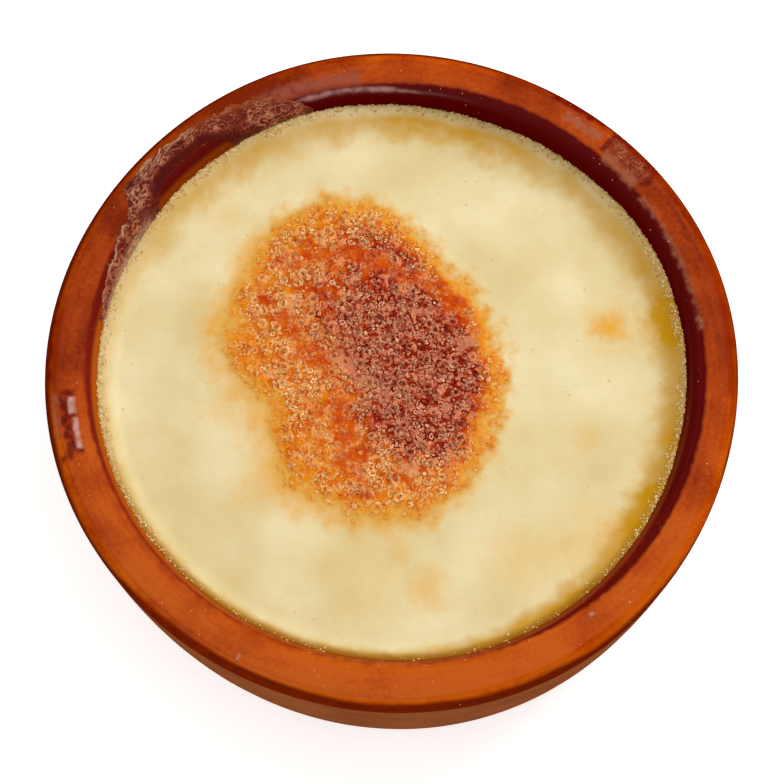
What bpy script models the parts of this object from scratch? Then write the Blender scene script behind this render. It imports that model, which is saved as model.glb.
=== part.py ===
"""A baked rice pudding in its glazed clay bowl.

The bowl is thrown on a wheel: one turned wall with a thick, flat-topped rim, a rolled
inner lip and a plain flat base. The pudding fills it to just under the rim. Its skin climbs
the wall at the edge, sinks to a level middle and is raised where the top has scorched.
A sheet of boiled-over milk skin has dried on to the lip and the rim at one side.

Metres, +Z up, origin at the middle of the underside of the bowl.
"""

import math

import bpy
import numpy as np

# ---- driving dimensions ----------------------------------------------------------------

RIM_RADIUS = 0.056
BOWL_HEIGHT = 0.040
SEGMENTS = 72
GAP = 0.0003

# outer wall: radius = RIM_RADIUS - WALL_LEAN * depth - WALL_CURL * depth cubed
WALL_LEAN = 0.078
WALL_CURL = 38.0
WALL_STEPS = 6
HEEL_ROUND = 0.004

# rim: rounded outside, slightly crowned on top, rolled inwards to the opening
RIM_ROUND_WIDTH = 0.0018
RIM_ROUND_DROP = 0.0019
RIM_CROWN = 0.0002
LIP_RADIUS = 0.0502
LIP_ROLL_WIDTH = 0.0026
LIP_ROLL_DROP = 0.0034

# hollow: a nearly upright wall that rounds into a flat floor
HOLLOW_FOOT_RADIUS = 0.0464
HOLLOW_ROUND = 0.008
FLOOR_THICKNESS = 0.0065

# the thrown wall is a little out of round: (waves round the rim, height, first crest in degrees)
OUT_OF_ROUND = ((1, 0.00008, -38.0), (2, 0.00013, -100.0), (3, 0.00015, 178.0),
                (4, 0.00019, 71.0), (5, 0.00006, 108.0))

# pudding: the skin's line on the wall, the level middle, and how wide the sloping edge is
CONTACT_DROP = 0.0028
LEVEL_DROP = 0.0052
SLOPE_WIDTH = 0.0042
SLOPE_WIDER_AT_BACK = 0.00075
SLOPE_WIDER_AT_RIGHT = 0.00035
SLOPE_NARROWER_AT_SIDES = 0.00055
SLOPE_POWER = 1.7
DOME_HEIGHT = 0.0002
RING_STEP = 0.0035
SLOPE_RINGS = 5

# slow waves in the skin: (height, metres from crest to crest, heading in degrees, phase)
SKIN_WAVES = ((0.00010, 0.031, 20.0, 0.6), (0.00008, 0.019, 105.0, 2.1), (0.00005, 0.012, 160.0, 4.0))

# scorched patch: an upright oval that stands a little proud of the pale skin
SCORCH_X = -0.0036
SCORCH_Y = 0.0030
SCORCH_RADIUS = 0.0254
SCORCH_STRETCH = 0.0032
SCORCH_TILT = 98.0
SCORCH_RISE = 0.00025
SCORCH_FADE = 0.006

# milk skin: how far it reaches up the lip and over the rim, measured along the clay from
# the pudding's line, at each (degrees, metres)
SKIN_REACH = ((106.0, 0.0016), (113.0, 0.0054), (120.0, 0.0068), (131.0, 0.0075), (138.0, 0.0082),
              (144.5, 0.0081), (147.0, 0.0056), (150.0, 0.0046), (158.0, 0.0040),
              (164.0, 0.0030), (170.0, 0.0016))
SKIN_ARCH_ANGLE = 133.5
SKIN_ARCH_HALF_WIDTH = 10.5
SKIN_ARCH_HEIGHT = 0.0044
SKIN_FOOT = 0.0005
SKIN_THICKNESS = 0.0004
SKIN_COLUMNS = 44
SKIN_ROWS = 6

CONTACT_HEIGHT = BOWL_HEIGHT - CONTACT_DROP
LEVEL_HEIGHT = BOWL_HEIGHT - LEVEL_DROP
MERGE = 0.00001


# ---- outlines --------------------------------------------------------------------------

def quarter_turn(centre, width, height, start, end, steps):
    """Points on an ellipse about centre, from angle start to end in degrees, ends included."""
    points = []
    for step in range(steps + 1):
        angle = math.radians(start + (end - start) * step / steps)
        points.append((centre[0] + width * math.cos(angle), centre[1] + height * math.sin(angle)))
    return points


def outer_radius(height):
    """Radius of the outer wall at a height above the base."""
    depth = BOWL_HEIGHT - RIM_ROUND_DROP - height
    return RIM_RADIUS - WALL_LEAN * depth - WALL_CURL * depth ** 3


def lip_roll(offset, lowest, steps):
    """The rolled lip, moved into the opening by offset, from the height lowest up to its top."""
    centre = (LIP_RADIUS, BOWL_HEIGHT - RIM_CROWN - LIP_ROLL_DROP)
    width = LIP_ROLL_WIDTH + offset
    height = LIP_ROLL_DROP + offset
    rise = max(0.0, lowest - centre[1]) / height
    start = 180.0 - math.degrees(math.asin(rise))
    return quarter_turn(centre, width, height, start, 90.0, steps)


def hollow_floor(offset):
    """The hollow's floor and the rounding into its wall, moved into the hollow by offset."""
    centre = (HOLLOW_FOOT_RADIUS - HOLLOW_ROUND, FLOOR_THICKNESS + HOLLOW_ROUND)
    size = HOLLOW_ROUND - offset
    return [(0.0, FLOOR_THICKNESS + offset)] + quarter_turn(centre, size, size, -90.0, 0.0, 5)


def rim_top():
    """The rim's crowned top and outer rounding, from the lip outwards."""
    shoulder = BOWL_HEIGHT - RIM_CROWN
    outside = RIM_RADIUS - RIM_ROUND_WIDTH
    middle = (LIP_RADIUS + outside) / 2.0
    half = (outside - LIP_RADIUS) / 2.0
    crown = quarter_turn((middle, shoulder), half, RIM_CROWN, 180.0, 0.0, 4)[1:-1]
    drop = RIM_ROUND_DROP - RIM_CROWN
    return crown + quarter_turn((outside, shoulder - drop), RIM_ROUND_WIDTH, drop, 90.0, 0.0, 4)


def bowl_outline():
    """Closed outline of the bowl's wall, from the hollow's floor over the rim to the base."""
    lip_foot = BOWL_HEIGHT - RIM_CROWN - LIP_ROLL_DROP
    points = hollow_floor(0.0) + lip_roll(0.0, lip_foot, 6) + rim_top()
    wall_top = BOWL_HEIGHT - RIM_ROUND_DROP
    for step in range(1, WALL_STEPS + 1):
        height = wall_top + (HEEL_ROUND - wall_top) * step / WALL_STEPS
        points.append((outer_radius(height), height))
    heel = (outer_radius(HEEL_ROUND) - HEEL_ROUND, HEEL_ROUND)
    points += quarter_turn(heel, HEEL_ROUND, HEEL_ROUND, 0.0, -90.0, 4)[1:]
    points.append((0.0, 0.0))
    return points


def pudding_outline():
    """Outline of the pudding: a flat top at the contact line, then down the hollow's wall."""
    roll = lip_roll(GAP, CONTACT_HEIGHT, 6)
    edge = roll[0][0]
    radii = list(np.arange(0.0, edge - SLOPE_WIDTH - RING_STEP / 2.0, RING_STEP))
    radii += [edge - SLOPE_WIDTH * 1.3 * (1.0 - ring / SLOPE_RINGS) for ring in range(SLOPE_RINGS)]
    points = [(radius, CONTACT_HEIGHT) for radius in radii]
    points.append((edge, CONTACT_HEIGHT))
    foot = lip_roll(GAP, 0.0, 6)[0]
    points.append(((edge + foot[0]) / 2.0 - GAP / 4.0, (CONTACT_HEIGHT + foot[1]) / 2.0))
    points.append(foot)
    points += reversed(hollow_floor(GAP))
    return points


def out_of_round(angle):
    """How far the thrown rim stands off a true circle at an angle in radians."""
    return sum(size * math.cos(waves * angle - math.radians(crest))
               for waves, size, crest in OUT_OF_ROUND)


# ---- pudding's top ---------------------------------------------------------------------

def slope_width(angle):
    """Width of the pudding's sloping edge at an angle."""
    width = SLOPE_WIDTH + SLOPE_WIDER_AT_BACK * math.sin(angle)
    width += SLOPE_WIDER_AT_RIGHT * math.cos(angle)
    return width - SLOPE_NARROWER_AT_SIDES * math.cos(2.0 * angle)


def scorch_cover(x, y):
    """One in the middle of the scorched patch, fading to zero past its ragged oval edge."""
    across, along = x - SCORCH_X, y - SCORCH_Y
    heading = math.atan2(along, across)
    edge = SCORCH_RADIUS + SCORCH_STRETCH * math.cos(2.0 * (heading - math.radians(SCORCH_TILT)))
    share = (edge - math.hypot(across, along)) / SCORCH_FADE + 0.5
    share = min(max(share, 0.0), 1.0)
    return share * share * (3.0 - 2.0 * share)


def pudding_height(x, y, edge):
    """Height of the pudding's skin over the point x, y, inside an edge of that radius."""
    radius = math.hypot(x, y)
    angle = math.atan2(y, x)
    share = min(max((edge - radius) / slope_width(angle), 0.0), 1.0)
    climb = (CONTACT_HEIGHT - LEVEL_HEIGHT) * (1.0 - share) ** SLOPE_POWER
    waves = 0.0
    for size, length, heading, phase in SKIN_WAVES:
        turn = math.radians(heading)
        waves += size * math.sin(math.tau * (x * math.cos(turn) + y * math.sin(turn)) / length + phase)
    middle = DOME_HEIGHT * (1.0 - (radius / edge) ** 2) + waves + SCORCH_RISE * scorch_cover(x, y)
    return LEVEL_HEIGHT + climb + middle * share


# ---- making the objects ----------------------------------------------------------------

def clear_scene():
    for item in list(bpy.data.objects):
        bpy.data.objects.remove(item, do_unlink=True)


def new_collection(name):
    group = bpy.data.collections.new(name)
    bpy.context.scene.collection.children.link(group)
    return group


def new_material(name, colour, roughness, coat=0.0):
    finish = bpy.data.materials.new(name)
    finish.use_nodes = True
    shader = finish.node_tree.nodes["Principled BSDF"]
    shader.inputs["Base Color"].default_value = (*colour, 1.0)
    shader.inputs["Roughness"].default_value = roughness
    shader.inputs["Metallic"].default_value = 0.0
    shader.inputs["Coat Weight"].default_value = coat
    return finish


def turned(name, outline, group):
    """A turned solid: the outline swept right round Z and made a plain mesh."""
    mesh = bpy.data.meshes.new(name)
    points = [(radius, 0.0, height) for radius, height in outline]
    mesh.from_pydata(points, [(i, i + 1) for i in range(len(points) - 1)], [])
    piece = bpy.data.objects.new(name, mesh)
    group.objects.link(piece)
    screw = piece.modifiers.new("turn", "SCREW")
    screw.axis = "Z"
    screw.angle = math.tau
    screw.steps = SEGMENTS
    screw.render_steps = SEGMENTS
    screw.use_merge_vertices = True
    screw.merge_threshold = MERGE
    swept = piece.evaluated_get(bpy.context.evaluated_depsgraph_get())
    piece.data = bpy.data.meshes.new_from_object(swept)
    piece.modifiers.clear()
    bpy.data.meshes.remove(mesh)
    piece.data.name = name
    return piece


def throw_by_hand(mesh):
    """Move a turned mesh off true by the wall's out-of-round."""
    for vertex in mesh.vertices:
        scale = 1.0 + out_of_round(math.atan2(vertex.co.y, vertex.co.x)) / RIM_RADIUS
        vertex.co.x *= scale
        vertex.co.y *= scale


def finish_piece(piece, material):
    piece.data.materials.clear()
    piece.data.materials.append(material)
    piece.data.shade_smooth()
    piece.data.set_sharp_from_angle(angle=math.radians(50.0))


def make_bowl(group):
    bowl = turned("bowl", bowl_outline(), group)
    throw_by_hand(bowl.data)
    finish_piece(bowl, new_material("glazed_clay", (0.40, 0.09, 0.012), 0.3, 0.6))
    return bowl


def make_pudding(group):
    pudding = turned("pudding", pudding_outline(), group)
    edge = lip_roll(GAP, CONTACT_HEIGHT, 6)[0][0]
    for vertex in pudding.data.vertices:
        if vertex.co.z > CONTACT_HEIGHT - MERGE:
            vertex.co.z = pudding_height(vertex.co.x, vertex.co.y, edge)
    throw_by_hand(pudding.data)
    finish_piece(pudding, new_material("baked_milk", (0.80, 0.66, 0.36), 0.45))
    return pudding


def rim_path(offset):
    """The clay from the pudding's line over the lip and rim, moved off it by offset."""
    points = np.array(lip_roll(0.0, CONTACT_HEIGHT, 24)[:-1] + [(LIP_RADIUS, BOWL_HEIGHT - RIM_CROWN)]
                      + rim_top())
    ahead = np.gradient(points, axis=0)
    ahead /= np.linalg.norm(ahead, axis=1)[:, None]
    away = np.column_stack((-ahead[:, 1], ahead[:, 0]))
    steps = np.linalg.norm(np.diff(points, axis=0), axis=1)
    return np.concatenate(([0.0], np.cumsum(steps))), points + away * offset


def skin_foot(degrees):
    """Lower edge of the milk skin along the clay: it arches up over a bare window."""
    share = abs(degrees - SKIN_ARCH_ANGLE) / SKIN_ARCH_HALF_WIDTH
    rise = max(0.0, 1.0 - share ** 4)
    return SKIN_FOOT + SKIN_ARCH_HEIGHT * rise


def skin_sheet():
    """The sheet of milk skin as a grid of points: columns round the bowl, rows outwards."""
    along, line = rim_path(GAP)
    angles, reaches = zip(*SKIN_REACH)
    points = []
    for column in range(SKIN_COLUMNS + 1):
        degrees = angles[0] + (angles[-1] - angles[0]) * column / SKIN_COLUMNS
        top = np.interp(degrees, angles, reaches)
        foot = skin_foot(degrees)
        turn = math.radians(degrees)
        for row in range(SKIN_ROWS + 1):
            distance = foot + (top - foot) * row / SKIN_ROWS
            radius = np.interp(distance, along, line[:, 0])
            height = np.interp(distance, along, line[:, 1])
            points.append((radius * math.cos(turn), radius * math.sin(turn), height))
    return points


def make_milk_skin(group):
    rows = SKIN_ROWS + 1
    faces = []
    for column in range(SKIN_COLUMNS):
        for row in range(SKIN_ROWS):
            corner = column * rows + row
            faces.append((corner, corner + 1, corner + rows + 1, corner + rows))
    mesh = bpy.data.meshes.new("milk_skin")
    mesh.from_pydata(skin_sheet(), [], faces)
    throw_by_hand(mesh)
    skin = bpy.data.objects.new("milk_skin", mesh)
    group.objects.link(skin)
    wall = skin.modifiers.new("thickness", "SOLIDIFY")
    wall.thickness = SKIN_THICKNESS
    wall.offset = 1.0
    wall.use_even_offset = False
    finish_piece(skin, new_material("dried_milk", (0.30, 0.11, 0.07), 0.4))
    return skin


def main():
    clear_scene()
    group = new_collection("baked_rice_pudding")
    make_bowl(group)
    make_pudding(group)
    make_milk_skin(group)


main()
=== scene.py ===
import math
from functools import partial
import bpy
import numpy as np
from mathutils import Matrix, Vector, kdtree, noise


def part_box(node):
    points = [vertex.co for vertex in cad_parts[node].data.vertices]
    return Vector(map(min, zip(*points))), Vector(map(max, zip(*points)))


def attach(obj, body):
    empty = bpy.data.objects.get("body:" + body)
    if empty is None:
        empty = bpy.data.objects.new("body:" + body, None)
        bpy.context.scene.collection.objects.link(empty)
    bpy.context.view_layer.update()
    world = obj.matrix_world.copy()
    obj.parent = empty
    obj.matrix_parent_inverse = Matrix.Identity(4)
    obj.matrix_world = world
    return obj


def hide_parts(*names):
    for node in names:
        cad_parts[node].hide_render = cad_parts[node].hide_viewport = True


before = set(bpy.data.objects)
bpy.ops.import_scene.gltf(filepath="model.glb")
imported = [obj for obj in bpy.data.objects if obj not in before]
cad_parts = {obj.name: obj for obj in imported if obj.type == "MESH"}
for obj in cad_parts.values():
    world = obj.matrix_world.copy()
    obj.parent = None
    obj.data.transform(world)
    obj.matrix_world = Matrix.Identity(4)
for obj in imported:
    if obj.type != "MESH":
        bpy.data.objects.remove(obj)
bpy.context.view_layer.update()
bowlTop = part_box("bowl")[1].z
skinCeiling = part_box("milk_skin")[1].z
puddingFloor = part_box("pudding")[0].z

# the turned bowl, the same shape as the solid: metres, and degrees for the crests
bowlShape = {
    "rimRadius": 0.05598,
    "height": bowlTop,
    "wallLean": 0.078,          # outer wall leans in by this share of its depth
    "wallCurl": 38.0,           # and curls in with the cube of the depth
    "heelRound": 0.004,
    "rimRoundWidth": 0.0018,
    "rimRoundDrop": 0.0019,
    "rimCrown": 0.0002,
    "lipRadius": 0.0502,
    "lipRollWidth": 0.0026,
    "lipRollDrop": 0.0034,
    "hollowFootRadius": 0.0464,
    "hollowRound": 0.008,
    "floorThickness": 0.0065,
    "outOfRound": ((1, 0.00008, -38.0), (2, 0.00013, -100.0), (3, 0.00015, 178.0),
                   (4, 0.00019, 71.0), (5, 0.00006, 108.0)),
    "segments": 700,
    "sweepRadius": 0.05,        # radius of the circle that the outline is swept along
    "ridgeDepth": 0.00006,      # finger ridges left by throwing
    "ridgeSpacing": 0.0034,
    "ridgeWander": 1.6,         # turns by which noise shifts them
    "ridgeRadius": (0.0485, 0.0500),    # they fade in between these radii
    "ridgeHeight": (0.0372, 0.0345),    # and between these heights
}

# marks in the rim's glaze: from and to in degrees, from and to in mm from the axis
rimMarks = {
    "shade": ((222.0, 240.0, 53.2, 56.5), (240.0, 262.0, 54.2, 56.5), (266.0, 300.0, 54.5, 56.5),
              (200.0, 238.0, 47.6, 50.3), (236.0, 330.0, 47.2, 49.8), (166.0, 184.0, 52.4, 56.5),
              (-6.0, 22.0, 52.6, 56.5), (62.0, 70.0, 53.0, 56.5)),
    "dark": ((36.6, 48.3, 51.0, 56.5), (49.8, 61.0, 54.0, 56.5), (168.0, 183.0, 54.9, 55.7),
             (184.0, 196.6, 51.0, 54.2), (196.0, 197.4, 53.0, 55.4)),
    "scar": ((37.6, 47.5, 51.2, 54.9), (242.6, 243.8, 51.5, 54.5)),
    # smears: dried milk on the glaze, with the lamp's sheen painted in along the lip and on patches of the
    # land
    "smear": ((38.0, 47.0, 49.7, 52.2), (48.6, 57.5, 51.4, 53.7), (7.0, 36.0, 49.7, 51.1),
              (184.5, 193.0, 53.7, 55.2), (306.0, 308.5, 50.9, 52.0)),
    "sheen": ((95.0, 117.0, 49.4, 53.4),),
    # highlight streaks: painted highlights of the lamp on chips and a crack in the glaze
    "streak": ((185.4, 188.9, 51.0, 52.6), (189.3, 195.6, 50.9, 52.3), (242.9, 243.7, 52.6, 54.0),
               (306.6, 307.9, 51.1, 51.7)),
}

# the pudding's skin: metres and degrees
skinShape = {
    "contactDrop": 0.0028,      # how far below the rim the skin meets the wall
    "contactUneven": 0.00025,
    # how much further it sank away from the wall at the back: degrees, metres
    "contactSunk": ((0, 0.0), (30, 0.0), (42, 0.0006), (50, 0.0012), (58, 0.0011), (66, 0.0015), (74, 0.0017),
                    (81, 0.0015), (88, 0.0010), (96, 0.0006), (106, 0.0002), (116, 0.0)),
    "levelDrop": 0.0052,
    "solidEdge": 0.04735,
    "slopeWidth": 0.0042,
    "slopeWiderAtBack": 0.00075,
    "slopeWiderAtRight": 0.00035,
    "slopeNarrowerAtSides": 0.00055,
    "slopePower": 1.7,
    "domeHeight": 0.0002,
    "waves": ((0.00010, 0.031, 20.0, 0.6), (0.00008, 0.019, 105.0, 2.1), (0.00005, 0.012, 160.0, 4.0)),
    "cells": 260,               # quads from edge to edge
    "lumps": 0.00002,
    "crustRoom": 0.00035,       # it dips this far under the crust piece
    "wallOverlap": 0.00003,     # and runs this far into the wall
    "hiddenDrop": 0.0024,       # first ring of its hidden side, below the lip
    "hiddenGap": 0.0003,        # between its hidden side and the hollow's wall
}

# the scorch: mm and degrees
scorch = {
    "middle": (-3.6, 3.0),
    # ragged outline: degrees round the middle, reach in mm
    "outline": ((0, 21.0), (28, 19.6), (48, 19.8), (68, 22.4), (92, 27.0), (122, 28.4), (140, 24.0),
                (170, 23.8), (186, 22.4), (199, 18.8), (209, 16.4), (219, 18.6), (232, 22.8), (258, 25.6),
                (276, 28.0), (291, 25.6), (304, 25.2), (328, 23.3)),
    "darkMiddle": (2.6, 4.2),
    "darkHeading": -62.0,       # the dark core is an oval lying along this heading
    "darkLength": 24.0,
    "darkWidth": 14.0,
    "coreFade": (0.45, 1.25),   # it fades between these shares of the oval
    "milderOutside": 0.78,      # and this much of the char is gone outside it
    "charFade": (-1.0, 5.5),    # mm inside the outline over which the skin browns
    "raggedSlow": 1.8,          # mm by which broad and fine noise move the outline
    "raggedFine": 1.3,
    "rise": 0.25,
    "fade": 6.0,
    "margin": 1.10,             # the crust piece runs under the pale skin by this much
    "cells": 300,
    "crustLift": 0.10,          # the crust piece lies this far above the skin
    "crustTuck": 0.12,          # and dips this far under it at its border
    "crustLumps": 0.05,
    "skirt": 0.0008,            # depth of its closed underside, metres
    # how far the gold glow reaches beyond the outline: degrees, mm
    "glowReach": ((0, 2.2), (45, 2.2), (90, 3.0), (135, 4.4), (180, 4.8), (212, 8.4), (250, 6.0), (290, 3.8),
                  (330, 2.4)),
    # belts where the caramel lies bare of froth: x, y in mm along each
    "bareBelts": (((-17.8, 20.4), (-7.6, 21.1), (3.2, 16.9), (14.1, 13.2), (16.8, 6.5)),
                  ((-21.4, 13.1), (-15.1, 7.9), (-9.6, -0.4), (-7.6, -7.6), (-6.5, -12.6), (-5.2, -18.5))),
    "beltWidth": 1.7,
    "beltChar": 0.5,
    # smooth caramel with the lamp's reflection painted on: x, y and radius in mm
    "sheenPatches": ((-9.0, 3.0, 1.5), (-6.8, 1.6, 1.9), (-4.6, 0.2, 2.1), (-2.4, -1.6, 1.6),
                      (-1.2, -3.4, 1.3), (-3.4, 25.5, 1.7), (-16.5, 12.6, 1.7), (-19.6, 0.2, 1.5),
                      (5.0, 11.0, 1.5), (12.0, 6.0, 1.5), (2.8, -15.2, 1.4), (9.0, -5.8, 1.6)),
}

# set bubbles in the crust's relief: radius in mm, the rest in shares of a bubble's radius
blister = {
    "count": 1700,
    "radius": (0.28, 0.85),
    "manySmall": 2.2,           # higher for more small ones
    "burst": 0.6,               # share that burst to a ring round a pit
    "bend": 0.35,               # mm by which noise pushes them out of round
    "reach": 1.3,
    "ring": {"at": 0.82, "width": 0.24, "height": 0.42},
    # the pit's and moat's shade is painted shade, the dome's light a painted highlight
    "pit": {"reach": 0.6, "depth": 0.22, "shade": 0.62},
    "dome": {"height": 0.5, "light": 0.4},
    "moat": {"at": 1.08, "width": 0.12, "shade": 0.8},
}

# golden blotches in the skin: x, y and radius in mm, share of gold
blotches = ((35.1, 8.2, 4.6, 0.95), (37.4, 9.0, 6.5, 0.30), (5.0, -35.8, 4.8, 0.5),
            (-27.7, 28.2, 4.0, 0.25), (31.6, -10.4, 3.0, 0.24), (33.2, -25.9, 6.5, 0.3),
            (27.0, -29.0, 6.0, 0.25), (-4.0, -34.5, 9.0, 0.16), (1.0, -29.3, 3.2, 0.35),
            (-10.0, -32.0, 4.4, 0.16), (20.0, -30.5, 7.0, 0.24), (-24.0, 21.0, 5.0, 0.26),
            (-22.0, -19.0, 6.0, 0.35), (-28.0, -6.0, 4.0, 0.30), (-30.0, 12.0, 6.0, 0.16))

# browned gold along the sloping edge, with painted shade of the wall where it is widest at the right and
# back: degrees, share, and how far it reaches up the slope's width
edgeGoldAndShade = ((0, 0.85), (5, 1.0), (10, 1.1), (16, 1.0), (22, 0.8), (35, 0.7), (55, 0.7), (70, 0.95), (77, 1.0),
            (86, 0.9), (100, 0.7), (113, 0.55), (125, 0.7), (135, 0.8), (145, 0.65), (165, 0.45), (190, 0.4),
            (225, 0.6), (250, 0.65), (270, 0.8), (295, 0.9), (312, 0.95), (326, 1.0), (336, 1.0), (346, 0.9))
edgeReach = ((0, 1.0), (10, 1.25), (20, 1.1), (60, 1.1), (90, 1.1), (120, 1.1), (150, 1.0), (180, 0.6),
             (225, 0.45), (270, 0.5), (300, 0.75), (330, 1.25))
# how far froth bleaches the gold beside the wall: degrees, share
edgePale = ((0, 0.0), (18, 0.05), (32, 0.5), (60, 0.6), (100, 0.9), (120, 0.5), (150, 0.3), (190, 0.4),
            (220, 0.0), (320, 0.0))
# olive line right at the wall, thin skin over the clay with painted shade in the corner: degrees, share
edgeOliveAndShade = ((0, 0.1), (60, 0.1), (100, 0.1), (150, 0.15), (190, 0.3), (215, 0.9), (270, 1.0), (310, 0.9),
             (335, 0.3))

# froth left along the wall: degrees, share
frothRing = ((0, 0.9), (30, 0.9), (60, 0.8), (90, 0.5), (108, 0.8), (120, 0.8), (128, 0.7), (142, 0.8),
             (150, 0.2), (168, 0.6), (190, 0.8), (215, 0.45), (232, 0.1), (270, 0.03), (310, 0.08),
             (335, 0.6))

# milk skin dried onto the clay: metres along the clay from the pudding's line, at each angle
milkFilm = {
    "reach": ((106.0, 0.0007), (108.0, 0.0026), (113.0, 0.0054), (120.0, 0.0068), (131.0, 0.0075),
              (138.0, 0.0082), (144.5, 0.0081), (147.0, 0.0056), (150.0, 0.0042), (156.0, 0.0034),
              (163.0, 0.0027), (170.0, 0.0015)),
    "archAngle": 133.5,
    "archHalfWidth": 10.5,
    "archHeight": 0.0044,
    "foot": 0.0005,
    "wrinkleHeight": 0.00042,
    "rollHeight": 0.0001,       # its outer edge curled over
    "thinnest": 0.00003,
    "body": 0.00006,
    "underside": -0.00006,      # it runs this far into the glaze
    "raggedTop": 0.0005,
    "raggedArch": 0.0004,
    "meanRadius": 51.0,         # mm, turns degrees into mm along it
    "columns": 420,
    "rows": 70,
}


def stage(text):
    print("rice pudding:", text)


def linear(hexColour):
    # sRGB hex to linear RGBA
    values = [int(hexColour[i:i + 2], 16) / 255.0 for i in (1, 3, 5)]
    return tuple(v / 12.92 if v <= 0.04045 else ((v + 0.055) / 1.055) ** 2.4 for v in values) + (1.0,)


def setInputs(tree, node, inputs):
    # a node or a socket is linked in, and anything else is the input's own value
    for key, value in inputs.items():
        if isinstance(value, bpy.types.Node):
            value = value.outputs[0]
        if isinstance(value, bpy.types.NodeSocket):
            tree.links.new(value, node.inputs[key])
        else:
            node.inputs[key].default_value = value


def addNode(tree, kind, inputs=None, stops=None, **settings):
    # one node with its settings and links; a kind that doesn't say Node is a shader's
    node = tree.nodes.new(kind if "Node" in kind else "ShaderNode" + kind)
    for name, value in settings.items():
        setattr(node, name, value)
    setInputs(tree, node, inputs or {})
    stops = list(stops or ())
    if stops:
        ramp = node.color_ramp
        while len(ramp.elements) < len(stops):
            ramp.elements.new(1.0)
        for element, (place, colour) in zip(ramp.elements, stops):
            element.position = place
            element.color = linear(colour)
    return node


eased = {"interpolation_type": "SMOOTHSTEP"}        # for a Map Range that starts and ends softly


def newMaterial(name):
    # a material, what adds nodes to it, and what sets its surface
    made = bpy.data.materials.new(name)
    made.use_nodes = True
    tree = made.node_tree
    return made, partial(addNode, tree), partial(setInputs, tree, tree.nodes["Principled BSDF"])


def storeFields(mesh, fields):
    for key, values in fields.items():
        mesh.attributes.new(key, "FLOAT", "POINT").data.foreach_set("value", np.asarray(values, np.float32))


def newMesh(name, points, faces, fields=None):
    mesh = bpy.data.meshes.new(name)
    mesh.from_pydata([tuple(p) for p in points], [], faces)
    storeFields(mesh, fields or {})
    mesh.shade_smooth()
    return mesh


def newPiece(name, mesh, material=None):
    if material:
        mesh.materials.append(material)
    piece = bpy.data.objects.new(name, mesh)
    bpy.context.scene.collection.objects.link(piece)
    return piece


def finished(piece, slot, *nodes):
    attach(piece, "root")
    if nodes:
        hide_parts(*nodes)
    stage(piece.name + ", " + str(len(piece.data.polygons)) + " faces")


def meshPoints(mesh):
    places = np.empty(len(mesh.vertices) * 3)
    mesh.vertices.foreach_get("co", places)
    return places.reshape(-1, 3)


def outwards(mesh):
    # turns a closed mesh the right way out if its volume comes out negative
    mesh.calc_loop_triangles()
    corners = np.empty(len(mesh.loop_triangles) * 3, np.int32)
    mesh.loop_triangles.foreach_get("vertices", corners)
    a, b, c = (meshPoints(mesh)[corners.reshape(-1, 3)[:, i]] for i in range(3))
    if np.einsum("ij,ij->", a, np.cross(b, c)) < 0.0:
        mesh.flip_normals()
    mesh.update()


def smooth(values, low, high):
    share = np.clip((values - low) / (high - low), 0.0, 1.0)
    return share * share * (3.0 - 2.0 * share)


def cloudy(x, y, size, seed, octaves=3):
    # fractal noise of about -1 to 1 over places in mm, size from crest to crest
    shift = Vector((seed * 17.3, seed * 9.1, seed * 5.7))
    return np.array([noise.fractal(Vector((a, b, 0.0)) / size + shift, 0.6, 2.1, octaves)
                     for a, b in zip(x, y)])


def roundTheBowl(table, degrees):
    # a value read off (degrees, value) pairs that run right round
    angles, values = zip(*table)
    return np.interp(np.mod(degrees, 360.0), angles + (angles[0] + 360.0,), values + (values[0],))


def heading(x, y):
    return np.degrees(np.arctan2(y, x))


def arc(centre, width, height, start, end, steps):
    turns = np.radians(np.linspace(start, end, steps + 1))
    return np.column_stack((centre[0] + width * np.cos(turns), centre[1] + height * np.sin(turns)))


def outOfRound(angle):
    return sum(size * np.cos(waves * angle - math.radians(crest))
               for waves, size, crest in bowlShape["outOfRound"])


def thrownByHand(points):
    # points of a true turned shape, moved off round as the bowl's wall is
    scale = 1.0 + outOfRound(np.arctan2(points[:, 1], points[:, 0])) / bowlShape["rimRadius"]
    return np.column_stack((points[:, 0] * scale, points[:, 1] * scale, points[:, 2]))


def placesAt(x, y, height):
    # x and y in mm and height in metres, to points on the hand-thrown shape
    return thrownByHand(np.column_stack((x * 0.001, y * 0.001, height)))


def outerRadius(height):
    s = bowlShape
    depth = s["height"] - s["rimRoundDrop"] - height
    return s["rimRadius"] - s["wallLean"] * depth - s["wallCurl"] * depth ** 3


def lipRoll(steps, lowest=0.0):
    s = bowlShape
    centre = (s["lipRadius"], s["height"] - s["rimCrown"] - s["lipRollDrop"])
    rise = max(0.0, lowest - centre[1]) / s["lipRollDrop"]
    start = 180.0 - math.degrees(math.asin(rise))
    return arc(centre, s["lipRollWidth"], s["lipRollDrop"], start, 90.0, steps)


def lipRadiusAt(height):
    s = bowlShape
    rise = (height - (s["height"] - s["rimCrown"] - s["lipRollDrop"])) / s["lipRollDrop"]
    return s["lipRadius"] - s["lipRollWidth"] * np.sqrt(1.0 - np.clip(rise, 0.0, 1.0) ** 2)


def rimTop(crownSteps, roundSteps):
    s = bowlShape
    shoulder = s["height"] - s["rimCrown"]
    outside = s["rimRadius"] - s["rimRoundWidth"]
    middle, half = (s["lipRadius"] + outside) / 2.0, (outside - s["lipRadius"]) / 2.0
    crown = arc((middle, shoulder), half, s["rimCrown"], 180.0, 0.0, crownSteps)[1:-1]
    drop = s["rimRoundDrop"] - s["rimCrown"]
    rounding = arc((outside, shoulder - drop), s["rimRoundWidth"], drop, 90.0, 0.0, roundSteps)
    return np.vstack((crown, rounding))


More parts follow.
